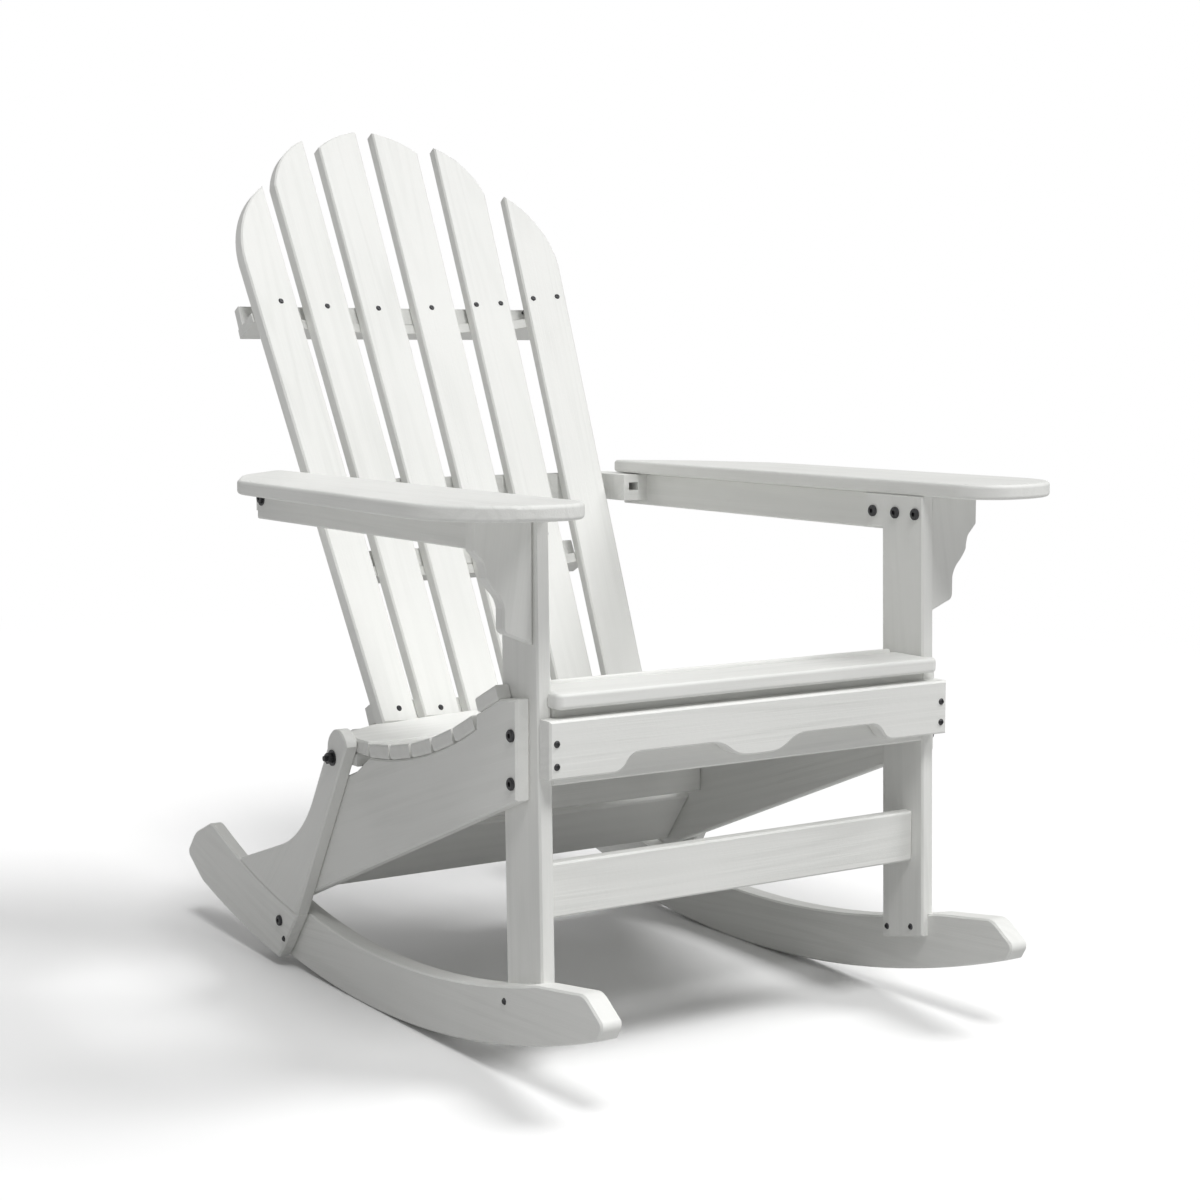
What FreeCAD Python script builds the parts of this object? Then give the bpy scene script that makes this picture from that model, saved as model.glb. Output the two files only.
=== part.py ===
import FreeCAD, Part
import math
import os
import re
import Sketcher
from FreeCAD import Placement, Rotation, Vector

# Rocking adirondack chair in painted boards.
# x = 0 is the plane of symmetry, the sitter faces -Y, and the rockers rest on z = 0.
# Drawing heights and depths count from the floor and from the front face of the front posts;
# every piece is then moved back by frame_shift, which centres the chair over the origin.

SIZES = {
    "frame_shift": -365.9,
    "board": 16,
    "easing": 2,
    # Planes of the side frames, as distances from the plane of symmetry
    "post_inner": 238,
    "rail_inner": 254,
    "leg_inner": 270,
    "rocker_inner": 246,
    # Rockers
    "rest_depth": 356,
    "rocker_radius": 1460,
    "neck_depth": 339,
    "neck_height": 63,
    "top_front_radius": 1381,
    "top_rear_radius": 1060,
    "nose_depth": -131,
    "tail_depth": 767,
    "tail_top_depth": 735,
    "lap_end": 600,
    # Front posts
    "post_width": 68,
    "post_lean": 0.0229,
    "post_tongue": 22,
    "tab_reach": 102,
    "tab_bottom": 531,
    # Arms
    "arm_under": 569,
    "arm_thick": 16,
    "arm_front": -92,
    "arm_outer": 395,
    "arm_back": 612,
    "arm_inner_round": 45,
    "arm_outer_round": 100,
    "rail_end": 615,
    "rail_under": 528,
    "bracket_front": 8,
    # Seat
    "apron_under": 311.5,
    "apron_top": 369.5,
    "apron_thick": 21,
    "apron_rear": -1.4,
    "seat_radius": 603,
    "seat_centre_depth": 370.1,
    "seat_centre_height": 883.8,
    "seat_slat_width": 44,
    "seat_slat_step": 4.7,
    "seat_first_angle": -29.65,
    "nose_top": 395,
    "shoulder_front": 47,
    "shoulder_front_height": 384.2,
    "shoulder_back": 94,
    "shoulder_back_height": 362.6,
    "nose_front": -20,
    "nose_back": 46,
    "nose_reach": 243,
    "rear_board_front": 332,
    "rear_board_back": 438,
    "rear_board_under": 283,
    # Back
    "recline": 27.4,
    "back_foot_depth": 443,
    "back_foot_height": 287,
    "back_half_width": 185,
    "back_splay": 0.0699,
    "back_hollow": 31,
    "back_hollow_width": 213,
    "slat_thick": 18,
    "slat_gap": 14,
    "gap_growth": 0.012,
}

SIDES = {"right": -1, "left": 1}
PLANES = {"XY": "XY_Plane", "XZ": "XZ_Plane", "YZ": "YZ_Plane"}

doc = FreeCAD.newDocument("RockingChair")
sheet = doc.addObject("Spreadsheet::Sheet", "Sizes")
for row, (name, number) in enumerate(SIZES.items(), start=1):
    sheet.set(f"A{row}", name)
    sheet.set(f"B{row}", str(number))
    sheet.setAlias(f"B{row}", name)
doc.recompute()


def bind(text):
    """Point the names in an expression at the sheet's cells."""
    return re.sub(r"[a-z_]{3,}", lambda m: "Sizes." + m[0] if m[0] in SIZES else m[0], str(text))


def value(text):
    return float(sheet.evalExpression(bind(text)))


def arc_height(radius, from_depth, base, depth):
    """Height at a depth of an upward curve whose lowest point is at from_depth."""
    return f"({base} + {radius} - sqrt({radius}^2 - ({depth} - {from_depth})^2))"


def rocker_top_front(depth):
    return arc_height("top_front_radius", "neck_depth", "neck_height", depth)


def rocker_top_rear(depth):
    return arc_height("top_rear_radius", "neck_depth", "neck_height", depth)


def rocker_under(depth):
    return arc_height("rocker_radius", "rest_depth", "0", depth)


# Sketches and boards. A corner is (across, up) or (across, up, bend): bend is the radius of the
# arc to the next corner, positive when the arc's centre lies to the left of the way it runs.

def new_body(label):
    body = doc.addObject("PartDesign::Body", label)
    body.Label = label
    body.setExpression("Placement.Base.y", bind("frame_shift"))
    return body


def new_sketch(body, plane, offset):
    sketch = body.newObject("Sketcher::SketchObject", body.Label + "_sketch")
    origin_plane = [f for f in body.Origin.OriginFeatures if f.Role == PLANES[plane]][0]
    sketch.AttachmentSupport = (origin_plane, [""])
    sketch.MapMode = "FlatFace"
    sketch.setExpression("AttachmentOffset.Base.z", bind(offset))
    return sketch


def pin_down(sketch, geometry, point, corner):
    """Tie a point of the sketch to its expressions."""
    for kind, text in (("DistanceX", corner[0]), ("DistanceY", corner[1])):
        index = sketch.addConstraint(Sketcher.Constraint(kind, -1, 1, geometry, point, value(text)))
        sketch.setExpression(f"Constraints[{index}]", bind(text))


def draw(sketch, corners):
    """Draw a closed outline of lines and arcs through the corners."""
    ends = []
    for corner, following in zip(corners, corners[1:] + corners[:1]):
        start = Vector(value(corner[0]), value(corner[1]), 0)
        stop = Vector(value(following[0]), value(following[1]), 0)
        if len(corner) == 2:
            ends.append((sketch.addGeometry(Part.LineSegment(start, stop), False), 1, 2))
            continue
        radius = value(corner[2])
        half = (stop - start) * 0.5
        left = Vector(-half.y, half.x, 0).normalize()
        rise = math.sqrt(radius ** 2 - half.Length ** 2)
        centre = start + half + left * math.copysign(rise, radius)
        low, high = (start, stop) if radius > 0 else (stop, start)
        angles = [math.atan2(p.y - centre.y, p.x - centre.x) for p in (low, high)]
        circle = Part.Circle(centre, Vector(0, 0, 1), abs(radius))
        arc = sketch.addGeometry(Part.ArcOfCircle(circle, *angles), False)
        ends.append((arc, 1, 2) if radius > 0 else (arc, 2, 1))
        index = sketch.addConstraint(Sketcher.Constraint("Radius", arc, abs(radius)))
        sketch.setExpression(f"Constraints[{index}]", f"abs({bind(corner[2])})")
    for this, following in zip(ends, ends[1:] + ends[:1]):
        join = Sketcher.Constraint("Coincident", this[0], this[2], following[0], following[1])
        sketch.addConstraint(join)
    for corner, this in zip(corners, ends):
        pin_down(sketch, this[0], this[1], corner)


def pad(body, plane, corners, low, high):
    """Raise an outline between two distances along the plane's own axis."""
    sketch = new_sketch(body, plane, f"-({high})" if plane == "XZ" else low)
    draw(sketch, corners)
    solid = body.newObject("PartDesign::Pad", body.Label + "_pad")
    solid.Profile = sketch
    solid.setExpression("Length", bind(f"{high} - ({low})"))
    return solid


def pocket(body, plane, corners, low, high):
    """Cut an outline away between two distances along the plane's own axis."""
    doc.recompute()
    before = body.Shape.Volume
    sketch = new_sketch(body, plane, f"-({low})" if plane == "XZ" else high)
    draw(sketch, corners)
    cut = body.newObject("PartDesign::Pocket", body.Label + "_pocket")
    cut.Profile = sketch
    cut.setExpression("Length", bind(f"{high} - ({low})"))
    doc.recompute()
    if body.Shape.Volume >= before:
        raise ValueError(f"{body.Label}: a pocket cut nothing")
    return cut


def round_corners(body, plane, rounds):
    """Round the edges that run along the plane's axis at the given corners."""
    across, up = plane.lower()
    for number, (left, over, radius) in enumerate(rounds, start=1):
        doc.recompute()
        base = body.Tip
        names = []
        for index, edge in enumerate(base.Shape.Edges, start=1):
            ends = [vertex.Point for vertex in edge.Vertexes]
            misses = [abs(getattr(p, across) - value(left)) + abs(getattr(p, up) - value(over))
                      for p in ends]
            if len(ends) == 2 and max(misses) < 0.05:
                names.append(f"Edge{index}")
        if len(names) != 1:
            raise ValueError(f"{body.Label}: corner {number} is not one edge")
        fillet = body.newObject("PartDesign::Fillet", f"{body.Label}_corner_{number}")
        fillet.Base = (base, names)
        fillet.setExpression("Radius", f"abs({bind(radius)})")


def ease(body, plane, radius="easing", kind="Chamfer"):
    """Round or bevel the long edges: those in the faces square to the plane's axis."""
    doc.recompute()
    axis = {"XY": "Z", "XZ": "Y", "YZ": "X"}[plane]
    base = body.Tip
    box = base.Shape.BoundBox
    limits = (getattr(box, axis + "Min"), getattr(box, axis + "Max"))
    names = []
    for number, edge in enumerate(base.Shape.Edges, start=1):
        reach = edge.BoundBox
        low, high = getattr(reach, axis + "Min"), getattr(reach, axis + "Max")
        if high - low < 0.01 and min(abs(low - limit) for limit in limits) < 0.01:
            names.append(f"Edge{number}")
    easing = body.newObject("PartDesign::" + kind, body.Label + "_easing")
    easing.Base = (base, names)
    easing.setExpression("Radius" if kind == "Fillet" else "Size", bind(radius))


def board(label, plane, corners, low, high):
    body = new_body(label)
    pad(body, plane, corners, low, high)
    ease(body, plane)
    return body


def box_corners(left, under, right, over):
    return [(left, under), (right, under), (right, over), (left, over)]


def mirrored(corners, side):
    """The outline as drawn for the left-hand side, or its mirror image for the other."""
    if side > 0:
        return corners
    return [(f"-({c[0]})", c[1]) + tuple(f"-({bend})" for bend in c[2:]) for c in corners]


def side_span(side, inner, outer):
    """Low and high distance of a layer of the side frame."""
    return (inner, outer) if side > 0 else (f"-({outer})", f"-({inner})")


# Side frames

def rocker_front(side_name, side):
    corners = [
        ("rest_depth", "0", "rocker_radius"),
        ("lap_end", rocker_under("lap_end")),
        ("lap_end", rocker_top_rear("lap_end"), "-top_rear_radius"),
        ("neck_depth", "neck_height", "-top_front_radius"),
        ("-20", rocker_top_front("-20")),
        ("nose_depth + 24", "123"),
        ("nose_depth - 10", "100"),
        ("nose_depth", rocker_under("nose_depth"), "rocker_radius"),
    ]
    low, high = side_span(side, "rocker_inner", "leg_inner")
    body = new_body(f"rocker_front_{side_name}")
    pad(body, "YZ", corners, low, high)
    round_corners(body, "YZ", [
        ("nose_depth + 24", "123", "20"),
        ("nose_depth - 10", "100", "8"),
        ("nose_depth", rocker_under("nose_depth"), "6"),
    ])
    ease(body, "YZ")
    return body


def rocker_rear(side_name, side):
    corners = [
        ("541", rocker_under("541"), "rocker_radius"),
        ("tail_depth", rocker_under("tail_depth")),
        ("tail_depth + 47", "88"),
        ("tail_depth + 20", "118"),
        ("tail_top_depth", rocker_top_rear("tail_top_depth"), "-top_rear_radius"),
        ("487", rocker_top_rear("487")),
        ("511", "45"),
        ("528", "24"),
    ]
    low, high = side_span(side, "leg_inner", "leg_inner + board")
    body = new_body(f"rocker_rear_{side_name}")
    pad(body, "YZ", corners, low, high)
    round_corners(body, "YZ", [
        ("tail_depth", rocker_under("tail_depth"), "60"),
        ("tail_depth + 47", "88", "9"),
        ("tail_depth + 20", "118", "30"),
        ("tail_top_depth", rocker_top_rear("tail_top_depth"), "20"),
    ])
    ease(body, "YZ")
    return body


def rear_leg(side_name, side):
    corners = [
        ("488", rocker_top_rear("488"), "top_rear_radius"),
        ("650", rocker_top_rear("650")),
        ("640", "114"),
        ("530", "150", "-168"),
        ("440", "222"),
        ("402", "284", "24"),
        ("355", "291"),
    ]
    low, high = side_span(side, "leg_inner", "leg_inner + board")
    return board(f"rear_leg_{side_name}", "YZ", corners, low, high)


def front_post(side_name, side):
    lean = "post_lean * ({} - apron_top)"
    foot_front = lean.format("83")
    foot_rear = "post_width + " + lean.format("69")
    corners = [
        (foot_front, f"{rocker_top_front('0')} - post_tongue"),
        (foot_rear, f"{rocker_top_front('post_width')} - post_tongue"),
        ("post_width + " + lean.format("tab_bottom"), "tab_bottom"),
        ("tab_reach - 6", "tab_bottom", "6"),
        ("tab_reach", "tab_bottom + 6"),
        ("tab_reach", "arm_under"),
        (lean.format("arm_under"), "arm_under"),
    ]
    low, high = side_span(side, "post_inner", "rail_inner")
    body = board(f"front_post_{side_name}", "YZ", corners, low, high)
    shoulder = [
        ("-40", "40"),
        ("post_width + 40", "40"),
        ("post_width + 40", rocker_top_front("(post_width + 40)"), "-top_front_radius"),
        ("-40", rocker_top_front("-40")),
    ]
    low, high = side_span(side, "rocker_inner", "rail_inner")
    pocket(body, "YZ", shoulder, low, high)
    return body


def seat_rail(side_name, side):
    drop = "sqrt(seat_radius^2 - ({} - seat_centre_depth)^2)"
    corners = [
        ("15", "287"),
        ("520", "84"),
        ("520", "146"),
        ("400", "248"),
        ("362", "262"),
        ("331", "seat_centre_height - " + drop.format("331"), "-seat_radius"),
        ("shoulder_back", "seat_centre_height - " + drop.format("shoulder_back")),
        ("shoulder_back", "shoulder_back_height"),
        ("shoulder_front", "shoulder_front_height"),
        ("15", "387.6"),
    ]
    low, high = side_span(side, "rail_inner", "leg_inner")
    return board(f"seat_rail_{side_name}", "YZ", corners, low, high)


def arm_rail(side_name, side):
    corners = box_corners("bracket_front + board", "rail_under", "rail_end", "arm_under")
    low, high = side_span(side, "rail_inner", "leg_inner")
    return board(f"arm_rail_{side_name}", "YZ", corners, low, high)


def arm_bracket(side_name, side):
    corners = [
        ("rail_inner", "441"),
        ("281", "452", "8"),
        ("288", "459"),
        ("288", "478", "-30"),
        ("295", "493", "60"),
        ("307", "509", "-40"),
        ("310", "524"),
        ("321", "536"),
        ("321", "arm_under"),
        ("rail_inner", "arm_under"),
    ]
    return board(
        f"arm_bracket_{side_name}", "XZ", mirrored(corners, side),
        "bracket_front", "bracket_front + board")


def arm(side_name, side):
    corners = [
        ("post_inner", "arm_front"),
        ("arm_outer", "arm_front"),
        ("arm_outer - 22", "440"),
        ("322", "541"),
        ("250", "arm_back"),
        ("post_inner", "arm_back"),
    ]
    body = new_body(f"arm_{side_name}")
    pad(body, "XY", mirrored(corners, side), "arm_under", "arm_under + arm_thick")
    round_corners(body, "XY", mirrored([
        ("post_inner", "arm_front", "arm_inner_round"),
        ("arm_outer", "arm_front", "arm_outer_round"),
        ("arm_outer - 22", "440", "90"),
        ("322", "541", "120"),
        ("250", "arm_back", "8"),
    ], side))
    ease(body, "XY", "4", "Fillet")
    return body


def side_frames():
    makers = (rocker_front, rocker_rear, rear_leg, front_post, seat_rail, arm_rail,
              arm_bracket, arm)
    return [make(name, side) for name, side in SIDES.items() for make in makers]


# Cross pieces under the seat

def front_apron():
    half = [
        ("180", "apron_under", "18.5"),
        ("164", "apron_under + 9.2", "-18.5"),
        ("148", "apron_under + 18.5"),
        ("62", "apron_under + 18.5", "-39"),
        ("38", "apron_under + 10.2", "39"),
        ("14", "apron_under + 2"),
    ]
    right_half = [
        ("-14", "apron_under + 2", "39"),
        ("-38", "apron_under + 10.2", "-39"),
        ("-62", "apron_under + 18.5"),
        ("-148", "apron_under + 18.5", "-18.5"),
        ("-164", "apron_under + 9.2", "18.5"),
        ("-180", "apron_under"),
    ]
    corners = [("rail_inner", "apron_under")] + half + right_half
    corners += [("-rail_inner", "apron_under"), ("-rail_inner", "apron_top"),
                ("rail_inner", "apron_top")]
    corners = [(c[0], c[1]) + tuple(f"-({bend})" for bend in c[2:]) for c in corners]
    return board("front_apron", "XZ", corners, "apron_rear - apron_thick", "apron_rear")


def front_stretcher():
    corners = box_corners("-post_inner", "165", "post_inner", "220.5")
    return board("front_stretcher", "XZ", corners, "12.6", "12.6 + board")


def seat_front_rail():
    corners = box_corners("-post_inner", "301.5", "post_inner", "nose_top - board")
    return board("seat_front_rail", "XZ", corners, "apron_rear", "apron_rear + board")


def seat_rear_rail():
    corners = box_corners("-rail_inner", "172", "rail_inner", "203")
    return board("seat_rear_rail", "XZ", corners, "436", "436 + board")


def lower_brace():
    """Cross board that leans with the front edges of the rear legs."""
    body = new_body("lower_brace")
    pad(body, "XZ", box_corners("-rail_inner", "0", "rail_inner", "80"), "0", "board")
    ease(body, "XZ")
    body.setExpression("Placement.Base.y", bind("frame_shift + 510"))
    body.setExpression("Placement.Base.z", "96")
    body.Placement.Rotation = Rotation(Vector(1, 0, 0), 36.9)
    return body


def back_support_lower():
    """Flat board that carries the feet of the back, held between the tops of the rear legs."""
    corners = [
        ("-leg_inner", "360"),
        ("leg_inner", "360"),
        ("leg_inner", "401"),
        ("205", "440"),
        ("205", "506"),
        ("-205", "506"),
        ("-205", "440"),
        ("-leg_inner", "401"),
    ]
    return board(
        "back_support_lower", "XY", corners, "rear_board_under - board", "rear_board_under")


# Seat slats

def nose_slat():
    body = new_body("seat_slat_1")
    corners = [
        ("-nose_reach", "nose_front"),
        ("nose_reach", "nose_front"),
        ("nose_reach", "-0.4"),
        ("post_inner - 0.4", "-0.4"),
        ("post_inner - 0.4", "nose_back"),
        ("-(post_inner - 0.4)", "nose_back"),
        ("-(post_inner - 0.4)", "-0.4"),
        ("-nose_reach", "-0.4"),
    ]
    pad(body, "XY", corners, "nose_top - board", "nose_top")
    round_corners(body, "XY", [("-nose_reach", "nose_front", "7"),
                               ("nose_reach", "nose_front", "7")])
    ease(body, "XY", "4", "Fillet")
    return body


def slat_on_seat(number, corners, angle, depth, height):
    """A seat slat whose underside has its middle at the given depth and height."""
    body = new_body(f"seat_slat_{number}")
    pad(body, "XY", corners, "0", "board")
    ease(body, "XY", "3", "Fillet")
    body.Placement.Rotation = Rotation(Vector(1, 0, 0), angle)
    body.setExpression("Placement.Base.y", bind(f"frame_shift + {depth}"))
    body.setExpression("Placement.Base.z", bind(height))
    return body


def notched_seat_slat():
    """Slat on the shoulders of the seat rails, notched round the front posts."""
    front, back, notch = "-seat_slat_width / 2", "seat_slat_width / 2", "0.5"
    inside, outside = "post_inner - 0.6", "rail_inner + 0.6"
    left_half = [
        (inside, front),
        (inside, notch),
        (outside, notch),
        (outside, front),
        ("leg_inner", front),
        ("leg_inner", back),
    ]
    right_half = [(f"-({across})", up) for across, up in reversed(left_half)]
    run = value("shoulder_back - shoulder_front")
    fall = value("shoulder_front_height - shoulder_back_height")
    angle = -math.degrees(math.atan(fall / run))
    middle = "21.8"
    return slat_on_seat(2, left_half + right_half, angle, f"shoulder_front + {middle}",
                        f"shoulder_front_height - {middle} * {fall / run}")


def curved_seat_slats():
    """Slats that lie on the hollow top of the seat rails, each on its own two edges."""
    slats = []
    for number in range(1, 6):
        corners = box_corners("-leg_inner", "-seat_slat_width / 2", "leg_inner",
                              "seat_slat_width / 2")
        angle = value(f"seat_first_angle + {number} * seat_slat_step")
        reach = "sqrt(seat_radius^2 - (seat_slat_width / 2)^2)"
        depth = f"seat_centre_depth + {reach} * {math.sin(math.radians(angle))}"
        height = f"seat_centre_height - {reach} * {math.cos(math.radians(angle))}"
        slats.append(slat_on_seat(number + 2, corners, angle, depth, height))
    return slats


def rear_seat_board():
    corners = [
        ("-leg_inner", "rear_board_front"),
        ("leg_inner", "rear_board_front"),
        ("leg_inner", "399"),
        ("210", "rear_board_back"),
        ("back_half_width", "rear_board_back", "585"),
        ("-back_half_width", "rear_board_back"),
        ("-210", "rear_board_back"),
        ("-leg_inner", "399"),
    ]
    return board(
        "seat_slat_8", "XY", corners, "rear_board_under", "rear_board_under + board")


# Back. Pieces are drawn in the back's own frame: x across, z up along the slats from
# back_foot_height, y square to the slats and to the rear.

BACK_TILT = Rotation(Vector(1, 0, 0), -SIZES["recline"])
BACK_FOOT = Vector(0, SIZES["frame_shift"] + SIZES["back_foot_depth"], SIZES["back_foot_height"])


def place_in_back(body, base=Vector(), turn=Rotation()):
    body.setExpression("Placement.Base.y", None)
    body.Placement = Placement(BACK_FOOT, BACK_TILT).multiply(Placement(base, turn))


def hollow(across):
    """How far the curved back lies behind its outer edges."""
    return value(f"back_hollow * (1 - ({across} / back_hollow_width)^2)")


def half_gap(up):
    """Half the space between two slats, which widens upwards."""
    return f"((slat_gap + gap_growth * ({up})) / 2)"


def slat_edge(step, up):
    """Distance from the middle of the back to the middle of a space between slats."""
    return f"({step} / 3 * (back_half_width + back_splay * ({up}) + {half_gap(up)}))"


def slat_middle(step):
    return value(slat_edge(step + 0.5, "350"))


def slat_turn(middle):
    """Turn of a slat about its own length: about half the slope of the curve of the back."""
    return math.atan(-SIZES["back_hollow"] * middle / SIZES["back_hollow_width"] ** 2)


# Top corner at the inner edge, top corner at the outer edge and radius of the arc between them
SLAT_TOPS = {0: ("836", "808", "130"), 1: ("814", "742", "106"), 2: ("734", "612", "136")}
SLAT_FEET = {0: "22", 1: "20", 2: "14"}


def back_slat(number, step, side):
    """One slat: step 0 is beside the middle, step 2 is the outer one."""
    body = new_body(f"back_slat_{number}")
    inner_top, outer_top, radius = SLAT_TOPS[step]
    foot = SLAT_FEET[step]
    middle = slat_middle(step)
    corners = [
        (f"{slat_edge(step, foot)} + {half_gap(foot)} - {middle}", foot),
        (f"{slat_edge(step + 1, foot)} - {half_gap(foot)} - {middle}", foot),
        (f"{slat_edge(step + 1, outer_top)} - {half_gap(outer_top)} - {middle}", outer_top,
         radius),
        (f"{slat_edge(step, inner_top)} + {half_gap(inner_top)} - {middle}", inner_top),
    ]
    pad(body, "XZ", mirrored(corners, side), "0", "slat_thick")
    ease(body, "XZ")
    place_in_back(body, Vector(side * middle, hollow(middle), 0),
                  Rotation(Vector(0, 0, 1), side * math.degrees(slat_turn(middle))))
    return body


def back_slats():
    steps = [(2, -1), (1, -1), (0, -1), (0, 1), (1, 1), (2, 1)]
    return [back_slat(number, *step) for number, step in enumerate(steps, start=1)]


def slat_rear(step, fraction, up):
    """Point across and behind on a slat's rear face, from its inner (0) to outer (1) edge."""
    middle = slat_middle(step)
    inner = value(f"{slat_edge(step, up)} + {half_gap(up)}")
    outer = value(f"{slat_edge(step + 1, up)} - {half_gap(up)}")
    turn = slat_turn(middle)
    thick = SIZES["slat_thick"]
    along = inner + fraction * (outer - inner) - middle
    across = middle + along * math.cos(turn) - thick * math.sin(turn)
    behind = hollow(middle) + along * math.sin(turn) + thick * math.cos(turn)
    return across, behind + 0.3


def scoop(up, reach):
    """Points across and behind, from the middle outwards, just clear of the slats' rear faces."""
    points = [slat_rear(step, fraction, up) for step in (0, 1, 2) for fraction in (0, 1)]
    return [p for p in points if p[0] < reach - 1]


def both_halves(half):
    left = [(f"{x:.3f}", f"{y:.3f}") for x, y in half]
    right = [(f"{-x:.3f}", f"{y:.3f}") for x, y in reversed(half)]
    return right + left


def scooped_ledge(label, low, high, reach, rear):
    """Ledge whose front follows the slats, drawn in the back's frame."""
    half = scoop(low, reach)
    half.append((reach, half[-1][1]))
    half.append((reach, rear))
    body = new_body(label)
    pad(body, "XY", both_halves(half), low, high)
    place_in_back(body)
    return body


def upright_support(label, low, high, reach, front):
    body = new_body(label)
    pad(body, "XZ", box_corners(f"-{reach}", low, f"{reach}", high), front, f"{front} + board")
    ease(body, "XZ")
    place_in_back(body)
    return body


def back_supports():
    return [
        scooped_ledge("back_ledge_upper", "546", "558", 227, 66),
        upright_support("back_support_upper", "558", "584", 227, 50),
        scooped_ledge("back_ledge_middle", "210", "222", 165, 66),
        upright_support("back_support_middle", "222", "248", 165, 50),
        scooped_ledge("back_cleat_lower", "25", "49", 180, 57),
    ]


def back_crossbar():
    """Flat bar between the arm rails: scooped behind the slats, with ears beside them."""
    low, high = "arm_under - 34", "arm_under - 1"
    rise = value(f"{high} - back_foot_height")
    tilt = math.radians(SIZES["recline"])
    half = []
    for across, behind in scoop("333", 254):
        depth = SIZES["back_foot_depth"] + rise * math.tan(tilt) + (behind + 0.2) / math.cos(tilt)
        half.append((across, depth))
    half.append((218, half[-1][1]))
    half += [(218, 560), (SIZES["rail_inner"], 560), (SIZES["rail_inner"], 652)]
    body = new_body("back_crossbar")
    pad(body, "XY", both_halves(half), low, high)
    for side in SIDES.values():
        notch = box_corners("226", "548", "240", "558")
        pocket(body, "XZ", mirrored(notch, side), "559", "653")
    return body


# Fasteners, drawn along +Z from the surface that their head stands on. Each maker gives the
# fastener and the bore that its shank needs.

def hexagon(across_flats, low, high):
    radius = across_flats / math.sqrt(3)
    turns = [math.radians(60 * index) for index in range(7)]
    points = [Vector(radius * math.cos(t), radius * math.sin(t), low) for t in turns]
    return Part.Face(Part.makePolygon(points)).extrude(Vector(0, 0, high - low))


def bore(radius, length, start=-1):
    return Part.makeCylinder(radius, length - start, Vector(0, 0, start))


def wood_screw(length):
    head = Part.makeCone(2.4, 3.6, 1.6, Vector(0, 0, -1.6))
    shank = Part.makeCylinder(1.7, length)
    cross = Part.makeBox(3.4, 0.8, 1, Vector(-1.7, -0.4, -1.7))
    cross = cross.fuse(Part.makeBox(0.8, 3.4, 1, Vector(-0.4, -1.7, -1.7)))
    return head.fuse(shank).cut(cross), bore(1.7, length)


def socket_bolt(length):
    head = Part.makeCone(5.4, 6.4, 1, Vector(0, 0, -3))
    head = head.fuse([Part.makeCylinder(6.4, 2, Vector(0, 0, -2)), Part.makeCylinder(3, length)])
    return head.cut(hexagon(5, -3.1, -0.9)), bore(3, length)


def stud(length):
    return Part.makeCylinder(3, length + 11, Vector(0, 0, -11)), bore(3, length)


def dowel(length):
    return Part.makeCylinder(4, length), bore(4, length, 0)


def washer(thick):
    ring = Part.makeCylinder(9, thick, Vector(0, 0, -thick))
    return ring.cut(Part.makeCylinder(3, thick, Vector(0, 0, -thick))), None


def nut(thick):
    body = hexagon(11, -thick, 0).common(Part.makeCone(6.5, 5.8, thick, Vector(0, 0, -thick)))
    return body.cut(Part.makeCylinder(3, thick, Vector(0, 0, -thick))), None


def moved(pair, placement):
    """A fastener and its bore at their place."""
    for shape in pair:
        if shape:
            shape.Placement = placement
    return pair


def both_sides(make, length, places, toward):
    """The same fastener on both sides: places are (across, depth, height) on the left."""
    pairs = []
    for side in SIDES.values():
        turn = Rotation(Vector(0, 0, 1), Vector(side * toward[0], toward[1], toward[2]))
        for across, depth, height in places:
            at = Vector(side * across, depth + SIZES["frame_shift"], height)
            pairs.append(moved(make(length), Placement(at, turn)))
    return pairs


def slat_screws(places):
    """Screws square to the back through its slats: places are (across, up) on the back."""
    pairs = []
    for across, up in places:
        step = min(int(abs(across) / value(slat_edge(1, up))), 2)
        middle = slat_middle(step)
        along = (abs(across) - middle) / math.cos(slat_turn(middle))
        local = Placement(Vector(math.copysign(middle, across), hollow(middle), 0),
                          Rotation(Vector(0, 0, 1), math.degrees(
                              math.copysign(1, across) * slat_turn(middle))))
        point = Placement(Vector(math.copysign(1, across) * along, 0, up),
                          Rotation(Vector(0, 0, 1), Vector(0, 1, 0)))
        whole = Placement(BACK_FOOT, BACK_TILT).multiply(local).multiply(point)
        depth = 54 if up < 100 else 62
        pairs.append(moved(wood_screw(depth - hollow(middle)), whole))
    return pairs


def feature(label, shapes):
    item = doc.addObject("Part::Feature", label)
    item.Label = label
    item.Shape = Part.makeCompound(shapes)
    return item


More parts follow.
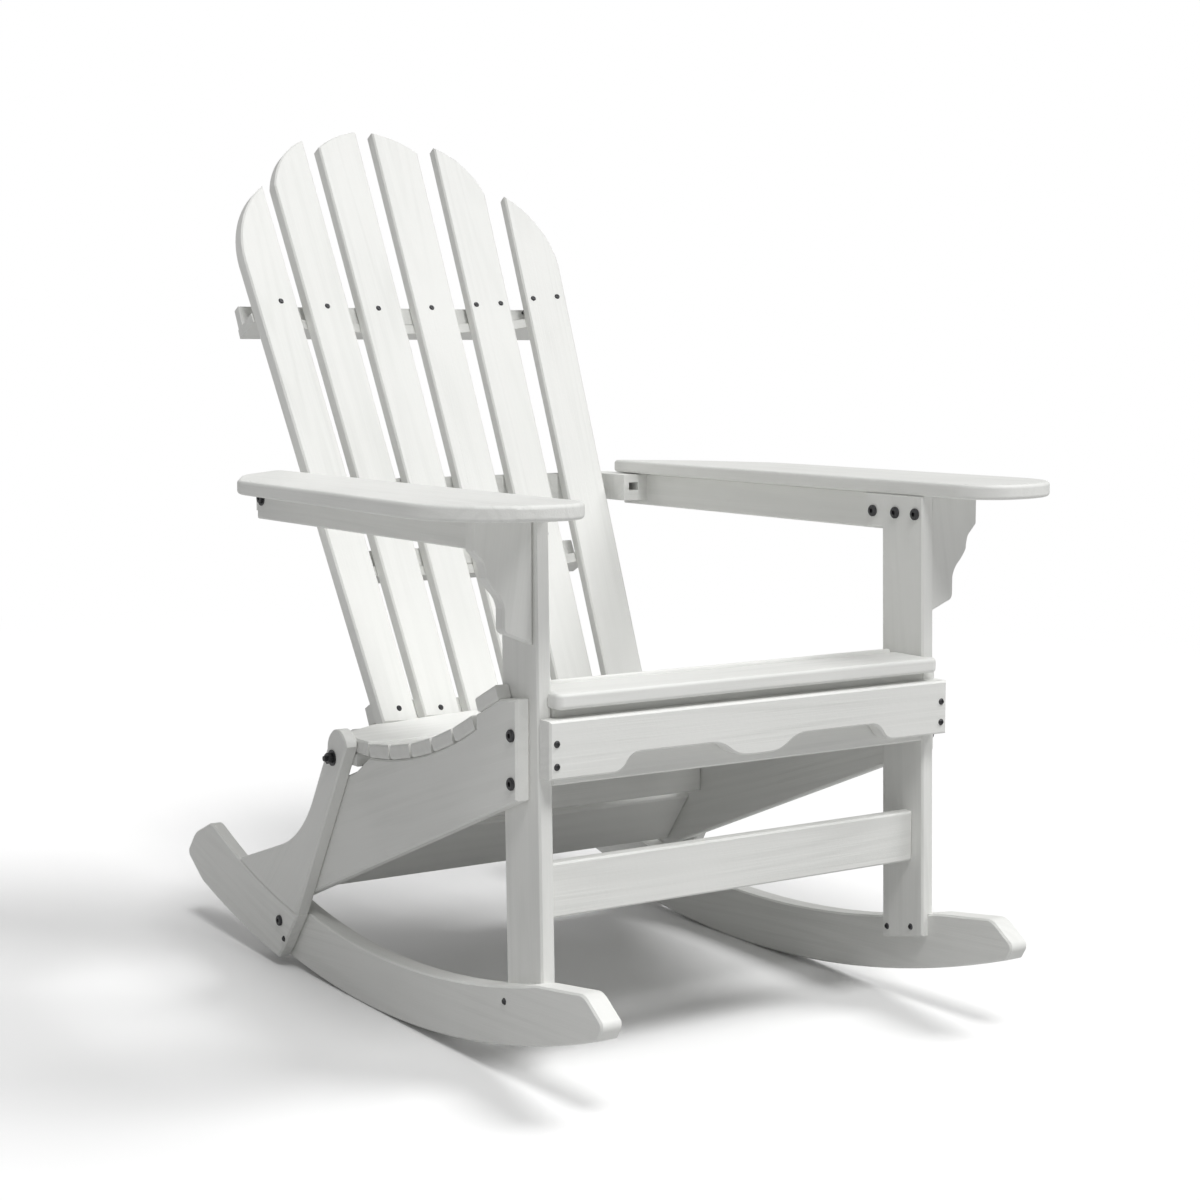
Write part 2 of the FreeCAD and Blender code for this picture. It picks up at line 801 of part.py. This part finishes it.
def fasteners():
    inward, outward = (-1, 0, 0), (1, 0, 0)
    rail_face = SIZES["leg_inner"]
    leg_face = rail_face + SIZES["board"]
    post_face = SIZES["post_inner"]
    post_middle = post_face + SIZES["board"] / 2
    apron_face = SIZES["apron_rear"] - SIZES["apron_thick"]
    leg_top = [(leg_face, 388, 275)]
    return {
        "apron_screws": both_sides(
            wood_screw, 50, [(post_middle, apron_face, z) for z in (347, 324.5)], (0, 1, 0)),
        "arm_post_bolts": both_sides(
            socket_bolt, 30, [(post_face, y, 549) for y in (87, 49, 16)], outward),
        "crossbar_bolts": both_sides(socket_bolt, 46, [(rail_face + 1.2, 602, 553)], inward),
        "crossbar_washers": both_sides(washer, 1.2, [(rail_face, 602, 553)], inward),
        "seat_rail_bolts": both_sides(
            socket_bolt, 29, [(rail_face, 24, z) for z in (351, 303)], inward),
        "leg_top_studs": both_sides(stud, 44, leg_top, inward),
        "leg_top_washers": both_sides(washer, 1.5, leg_top, inward),
        "leg_top_nuts": both_sides(nut, 6, [(leg_face + 1.5, 388, 275)], inward),
        "rocker_lap_bolts": both_sides(socket_bolt, 36, [(leg_face, 534, 58)], inward),
        "rocker_lap_screws": both_sides(wood_screw, 34, [(leg_face, 524, 38)], inward),
        "post_foot_screws": both_sides(
            wood_screw, 26, [(post_face, 53, 82), (post_face, 13, 90)], outward),
        "rocker_face_screws": both_sides(wood_screw, 29, [(rail_face, 40, 80)], inward),
        "back_screws_upper": slat_screws(
            [(x, 568 + (x + 190) / 36) for x in (-190, -120, -44, 34, 98, 134, 178, 213)]),
        "back_screws_lower": slat_screws([(x, 31) for x in (-160, -98, -33, 33, 98, 160)]),
        "stretcher_dowels": both_sides(
            dowel, 30, [(post_face + 12, 20.6, z) for z in (180, 206)], inward),
    }


# Which fasteners run into which piece of wood
DRILLED = {
    "front_apron": ["apron_screws"],
    "front_post": ["apron_screws", "arm_post_bolts", "seat_rail_bolts", "post_foot_screws",
                   "rocker_face_screws", "stretcher_dowels"],
    "front_stretcher": ["stretcher_dowels"],
    "rocker_front": ["post_foot_screws", "rocker_face_screws", "rocker_lap_bolts",
                     "rocker_lap_screws"],
    "rocker_rear": ["rocker_lap_bolts", "rocker_lap_screws"],
    "rear_leg": ["leg_top_studs"],
    "back_support_lower": ["leg_top_studs"],
    "seat_rail": ["seat_rail_bolts"],
    "arm_rail": ["arm_post_bolts", "crossbar_bolts"],
    "arm_bracket": ["arm_post_bolts"],
    "back_crossbar": ["crossbar_bolts"],
    "back_slat": ["back_screws_upper", "back_screws_lower"],
    "back_support_upper": ["back_screws_upper"],
    "back_cleat_lower": ["back_screws_lower"],
}


def drill(blank, bores):
    """The finished piece: the blank less the bores of its fasteners."""
    node = blank.Label
    kind = re.sub(r"_(right|left|\d)$", "", node)
    if kind not in DRILLED:
        return blank
    blank.Label = node + "_blank"
    tools = doc.addObject("Part::Compound", node + "_holes")
    tools.Links = [bores[name] for name in DRILLED[kind]]
    piece = doc.addObject("Part::Cut", node)
    piece.Label = node
    piece.Base = blank
    piece.Tool = tools
    return piece


wood = side_frames()
wood += [front_apron(), front_stretcher(), seat_front_rail(), seat_rear_rail(), lower_brace(),
         back_support_lower(), nose_slat()]
wood += [notched_seat_slat()] + curved_seat_slats() + [rear_seat_board()]
wood += back_slats() + back_supports()
wood.append(back_crossbar())
doc.recompute()
pairs = fasteners()
groups = [feature(label, [pair[0] for pair in found]) for label, found in pairs.items()]
bores = {label: feature(label + "_bores", [pair[1] for pair in found])
         for label, found in pairs.items() if found[0][1]}
pieces = [drill(blank, bores) for blank in wood]
doc.recompute()

failed = [item.Label for item in doc.Objects if {"Invalid", "Error"} & set(item.State)]
if failed:
    raise RuntimeError("failed features: " + ", ".join(failed))

os.makedirs("parts", exist_ok=True)
for piece in pieces + groups:
    shape = piece.Shape
    if shape.isNull() or not shape.isValid():
        raise RuntimeError(f"{piece.Label} is not a valid shape")
    if piece in pieces and len(shape.Solids) != 1:
        raise RuntimeError(f"{piece.Label} is not one solid")
    shape.exportStep(f"parts/{piece.Label}.step")
    print(piece.Label, len(shape.Solids), round(shape.Volume / 1000, 1))
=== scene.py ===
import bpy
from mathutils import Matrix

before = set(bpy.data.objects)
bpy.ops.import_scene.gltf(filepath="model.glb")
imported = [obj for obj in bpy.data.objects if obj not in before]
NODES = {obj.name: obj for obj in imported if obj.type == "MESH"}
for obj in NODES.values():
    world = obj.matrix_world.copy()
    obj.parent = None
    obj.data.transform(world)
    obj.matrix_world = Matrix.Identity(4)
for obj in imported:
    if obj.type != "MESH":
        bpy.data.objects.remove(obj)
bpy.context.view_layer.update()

import math

import bpy
import numpy as np
from mathutils import Vector

# White painted rocking chair. Every board keeps its CAD shape and gets painted wood whose grain
# runs along it; the floor, lights and camera are staging.

scene = bpy.context.scene

PAINT_LIGHT = (0.835, 0.838, 0.815, 1)
PAINT_DARK = (0.735, 0.74, 0.715, 1)
BARE_WOOD = {"light": (0.72, 0.56, 0.38, 1), "dark": (0.5, 0.34, 0.2, 1)}
STEEL = ("bolt", "screw", "stud", "washer", "nut")

STEEL_DARK = (0.02, 0.02, 0.022, 1)
STEEL_PALE = (0.11, 0.11, 0.115, 1)

# Grain cells per metre along, across and through a board
RING_SCALE = (0.8, 17.0, 17.0)
FIBRE_SCALE = (9.0, 560.0, 560.0)
RINGS_PER_CELL = 11
GRAIN_HEIGHT = 0.0006
PAINT_RELIEF = 0.6
BARE_RELIEF = 0.3

# How much light the floor gives back to the chair, and how pale it looks
FLOOR_SIZE = 40
FLOOR_BOUNCE = 0.6
FLOOR_SHOWN = 0.98
# The floor turns plain white between these distances from a point behind the chair
FADE_CENTRE = (0, 0.6, 0)
FADE_START = 1.9
FADE_END = 3.2
SKY_LIGHT = 0.28

# The photograph's camera
CAMERA_PLACE = (-1.367, -2.1922, 0.722)
CAMERA_LENS = 66.69
CAMERA_SENSOR = 36
CAMERA_DOWN = 6.297
CAMERA_TURN = 32.979


# Shader nodes

def add(tree, kind, *sources, **settings):
    """A node with its properties set and its inputs fed in order by sockets or constants."""
    made = tree.nodes.new("ShaderNode" + kind)
    for name, value in settings.items():
        setattr(made, name, value)
    for socket, source in zip(made.inputs, sources):
        feed(tree, socket, source)
    return made


def feed(tree, socket, source):
    if source is None:
        return
    if isinstance(source, bpy.types.NodeSocket):
        tree.links.new(source, socket)
    else:
        socket.default_value = source


def maths(tree, operation, first, second=0.0):
    return add(tree, "Math", first, second, operation=operation).outputs[0]


def noise(tree, vector, scale, detail, roughness=0.5, distortion=0.0):
    made = add(tree, "TexNoise")
    for name, source in (("Vector", vector), ("Scale", scale), ("Detail", detail),
                         ("Roughness", roughness), ("Distortion", distortion)):
        feed(tree, made.inputs[name], source)
    return made.outputs["Fac"]


def remap(tree, value, low, high, new_low, new_high):
    return add(tree, "MapRange", value, low, high, new_low, new_high).outputs[0]


def grain_space(tree, point, along, across, through, offset, stretch):
    """The point along, across and through the board, each scaled by stretch."""
    parts = []
    for direction, scale, shift in zip((along, across, through), stretch, offset):
        length = add(tree, "VectorMath", point, direction, operation="DOT_PRODUCT")
        parts.append(maths(tree, "MULTIPLY_ADD", length.outputs["Value"], scale))
        parts[-1].node.inputs[2].default_value = shift
    return add(tree, "CombineXYZ", *parts).outputs[0]


def new_material(name):
    material = bpy.data.materials.new(name)
    material.use_nodes = True
    tree = material.node_tree
    shader = tree.nodes["Principled BSDF"]
    return material, tree, shader


def wood_material(name, directions, seed, light, dark, relief):
    """Wood under paint: growth rings and fibres run along the board and raise its surface."""
    material, tree, shader = new_material(name)
    point = add(tree, "TexCoord").outputs["Object"]
    shift = (seed * 0.37, seed * 1.13, seed * 0.71)
    broad = grain_space(tree, point, *directions, shift, RING_SCALE)
    field = noise(tree, broad, 1.0, 1.5, 0.45, 0.3)
    rings = maths(tree, "SINE", maths(tree, "MULTIPLY", field, 2 * math.pi * RINGS_PER_CELL))
    rings = remap(tree, rings, -0.2, 1.0, 0.0, 1.0)
    fine = grain_space(tree, point, *directions, shift, FIBRE_SCALE)
    fibres = noise(tree, fine, 1.0, 4.0, 0.6)
    patchy = noise(tree, point, 3.1 + seed % 3 * 0.4, 2.0)
    film = noise(tree, point, 230.0, 3.0)
    strength = remap(tree, patchy, 0.35, 0.65, 0.25, 1.0)
    grain = maths(tree, "ADD", maths(tree, "MULTIPLY", rings, 0.3),
                  maths(tree, "MULTIPLY", fibres, 0.8))
    grain = maths(tree, "MULTIPLY", grain, strength)
    height = maths(tree, "ADD", grain, maths(tree, "MULTIPLY", film, 0.3))
    tone = remap(tree, grain, 0.1, 0.95, 1.0, 0.0)
    colour = add(tree, "Mix", data_type="RGBA")
    for socket, source in (("Factor", tone), ("A", dark), ("B", light)):
        feed(tree, [s for s in colour.inputs if s.name == socket and s.enabled][0], source)
    bump = add(tree, "Bump")
    feed(tree, bump.inputs["Strength"], relief)
    feed(tree, bump.inputs["Distance"], GRAIN_HEIGHT)
    feed(tree, bump.inputs["Height"], height)
    feed(tree, shader.inputs["Base Color"], colour.outputs["Result"])
    feed(tree, shader.inputs["Roughness"], remap(tree, film, 0.3, 0.7, 0.5, 0.64))
    feed(tree, shader.inputs["Normal"], bump.outputs[0])
    return material


def steel_material():
    """Dark coated steel with a fine speckle."""
    material, tree, shader = new_material("black_steel")
    point = add(tree, "TexCoord").outputs["Object"]
    speckle = noise(tree, point, 900.0, 3.0)
    tint = add(tree, "ValToRGB", noise(tree, point, 140.0, 2.0))
    tint.color_ramp.elements[0].color = STEEL_DARK
    tint.color_ramp.elements[1].color = STEEL_PALE
    bump = add(tree, "Bump")
    feed(tree, bump.inputs["Strength"], 0.25)
    feed(tree, bump.inputs["Distance"], 0.0002)
    feed(tree, bump.inputs["Height"], speckle)
    feed(tree, shader.inputs["Base Color"], tint.outputs["Color"])
    feed(tree, shader.inputs["Metallic"], 0.6)
    feed(tree, shader.inputs["Roughness"], remap(tree, speckle, 0.3, 0.7, 0.28, 0.5))
    feed(tree, shader.inputs["Normal"], bump.outputs[0])
    return material


def board_directions(piece):
    """Unit vectors along, across and through a board, from the spread of its points."""
    points = np.array([v.co for v in piece.data.vertices], float)
    spread = np.cov((points - points.mean(0)).T)
    _, vectors = np.linalg.eigh(spread)
    through, across, along = (Vector(vectors[:, i]) for i in range(3))
    return tuple(v if max(v, key=abs) > 0 else -v for v in (along, across, through))


def finish_piece(piece, seed):
    """Give a CAD piece its material."""
    name = piece.name
    if any(word in name for word in STEEL):
        material, slot = STEEL_MATERIAL, "black_steel"
    elif "dowel" in name:
        material = wood_material("bare_wood", board_directions(piece), seed,
                                 BARE_WOOD["light"], BARE_WOOD["dark"], BARE_RELIEF)
        slot = "bare_wood"
    else:
        material = wood_material("paint_" + name, board_directions(piece), seed,
                                 PAINT_LIGHT, PAINT_DARK, PAINT_RELIEF)
        slot = "painted_wood"
    piece.data.materials.clear()
    piece.data.materials.append(material)


STEEL_MATERIAL = steel_material()
for seed, name in enumerate(sorted(NODES), start=1):
    finish_piece(NODES[name], seed)


# Floor and backdrop

def floor():
    """Pale matt floor that fades to plain white where only the camera sees it."""
    bpy.ops.mesh.primitive_plane_add(size=FLOOR_SIZE, location=(0, 0, 0))
    plane = bpy.context.object
    plane.name = "floor"
    material = bpy.data.materials.new("pale_floor")
    material.use_nodes = True
    tree = material.node_tree
    tree.nodes.clear()
    point = add(tree, "NewGeometry").outputs["Position"]
    offset = add(tree, "VectorMath", point, FADE_CENTRE, operation="DISTANCE")
    away = add(tree, "MapRange", offset.outputs["Value"], FADE_START, FADE_END, 0.0, 1.0)
    away.interpolation_type = "SMOOTHSTEP"
    seen = add(tree, "LightPath").outputs["Is Camera Ray"]
    fade = maths(tree, "MULTIPLY", away.outputs[0], seen)
    matt = add(tree, "BsdfDiffuse", remap(tree, seen, 0.0, 1.0, FLOOR_BOUNCE, FLOOR_SHOWN))
    plain = add(tree, "Emission", (1, 1, 1, 1), 1.0)
    mixed = add(tree, "MixShader", fade, matt.outputs[0], plain.outputs[0])
    add(tree, "OutputMaterial", mixed.outputs[0])
    plane.data.materials.append(material)


def backdrop(strength):
    """Even light from all round, shown to the camera as plain white."""
    world = bpy.data.worlds.new("studio")
    scene.world = world
    world.use_nodes = True
    tree = world.node_tree
    tree.nodes.clear()
    seen = add(tree, "LightPath").outputs["Is Camera Ray"]
    level = remap(tree, seen, 0.0, 1.0, strength, 1.0)
    plain = add(tree, "Background", (1, 1, 1, 1), level)
    add(tree, "OutputWorld", plain.outputs[0])


def sun(name, direction, softness, strength):
    """A far, soft lamp: direction points from the chair to it."""
    data = bpy.data.lights.new(name, "SUN")
    data.angle = math.radians(softness)
    data.energy = strength
    lamp = bpy.data.objects.new(name, data)
    scene.collection.objects.link(lamp)
    lamp.rotation_euler = Vector(direction).to_track_quat("Z", "Y").to_euler()


floor()
backdrop(SKY_LIGHT)
sun("front_light", (-0.15, -0.5, 0.85), 18, 1.38)
sun("right_light", (0.5, -0.3, 0.8), 24, 1.49)

# Camera

camera_data = bpy.data.cameras.new("camera")
camera_data.lens = CAMERA_LENS
camera_data.sensor_width = CAMERA_SENSOR
camera = bpy.data.objects.new("camera", camera_data)
scene.collection.objects.link(camera)
camera.location = CAMERA_PLACE
camera.rotation_euler = (math.radians(90 - CAMERA_DOWN), 0, math.radians(-CAMERA_TURN))
scene.camera = camera

scene.view_settings.view_transform = "Standard"
scene.view_settings.look = "None"
